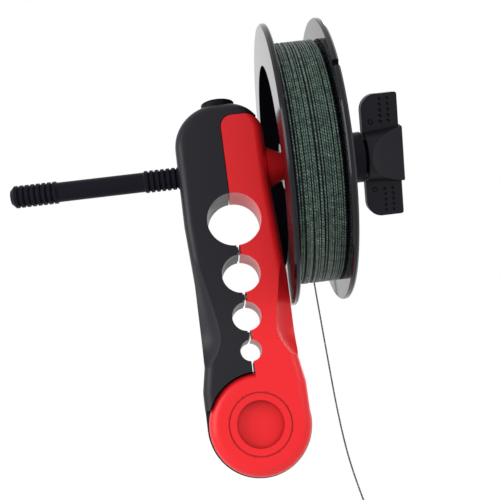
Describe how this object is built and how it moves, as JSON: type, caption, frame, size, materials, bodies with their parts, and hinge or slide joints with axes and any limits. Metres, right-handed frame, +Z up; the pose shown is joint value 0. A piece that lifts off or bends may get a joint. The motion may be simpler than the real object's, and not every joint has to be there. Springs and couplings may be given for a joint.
{
  "type": "fishing line winder",
  "caption": "Hand-held line winder: a two-jaw clamp with round rod holes, and a spool of braided line that turns on a sliding spindle with a wing knob.",
  "frame": {"origin": "centre of the largest clamp hole, half-way through the jaws", "axes": "+X along the spindle towards the spool, +Y to the rear along the clamp holes, +Z up to the release button"},
  "size_m": [0.1683, 0.12, 0.2244],
  "materials": {
    "red_plastic": "satin moulded plastic",
    "black_plastic": "fine matt moulded plastic",
    "spool_plastic": "glossy moulded plastic",
    "braided_line": "braided fibre",
    "steel": "plated steel",
    "drag_rubber": "soft rubber"
  },
  "bodies": {
    "red_jaw": {"red_jaw": "red_plastic", "red_rear_cover": "red_plastic", "red_cover_screws": "steel", "spool_cone": "red_plastic", "pivot_post": "steel", "pivot_washer": "steel", "pivot_screw": "steel", "free_line": "braided_line", "line_loop": "braided_line"},
    "black_jaw": {"black_jaw": "black_plastic", "black_rear_cover": "black_plastic", "black_cover_screws": "steel", "pivot_cap": "black_plastic", "button_spring": "steel"},
    "top_button": {"top_button": "black_plastic", "catch_plate": "steel"},
    "spindle": {"spindle": "black_plastic"},
    "spool": {"spool_left_half": "spool_plastic", "spool_right_half": "spool_plastic", "line_pack": "braided_line"},
    "pressure_collar": {"pressure_collar": "black_plastic", "drag_washer": "drag_rubber"},
    "wing_knob": {"wing_knob": "black_plastic", "knob_pin": "steel"}
  },
  "joints": [
    {"name": "jaw_hinge", "type": "hinge", "parent": "red_jaw", "child": "black_jaw", "pos_m": [0, 0, -0.0836], "axis": [0, -1, 0], "range_deg": [0, 7]},
    {"name": "button_press", "type": "slide", "parent": "black_jaw", "child": "top_button", "axis": [0, 0, -1], "range_m": [0, 0.002], "stiffness_N_per_m": 1200, "springref_m": -0.0005, "deforming": ["button_spring"]},
    {"name": "spindle_slide", "type": "slide", "parent": "red_jaw", "child": "spindle", "axis": [1, 0, 0], "range_m": [0, 0.055]},
    {"name": "spool_spin", "type": "hinge", "parent": "red_jaw", "child": "spool", "pos_m": [0.032, 0, 0.023], "axis": [1, 0, 0], "continuous": true},
    {"name": "collar_travel", "type": "slide", "parent": "spindle", "child": "pressure_collar", "axis": [1, 0, 0], "range_m": [0, 0.001]},
    {"name": "knob_turn", "type": "hinge", "parent": "spindle", "child": "wing_knob", "pos_m": [0.0673, 0, 0.023], "axis": [1, 0, 0], "range_deg": [0, 360]}
  ],
  "couplings": [
    {"joint": "collar_travel", "follows": "knob_turn", "m_per_rad": 0.000159}
  ]
}
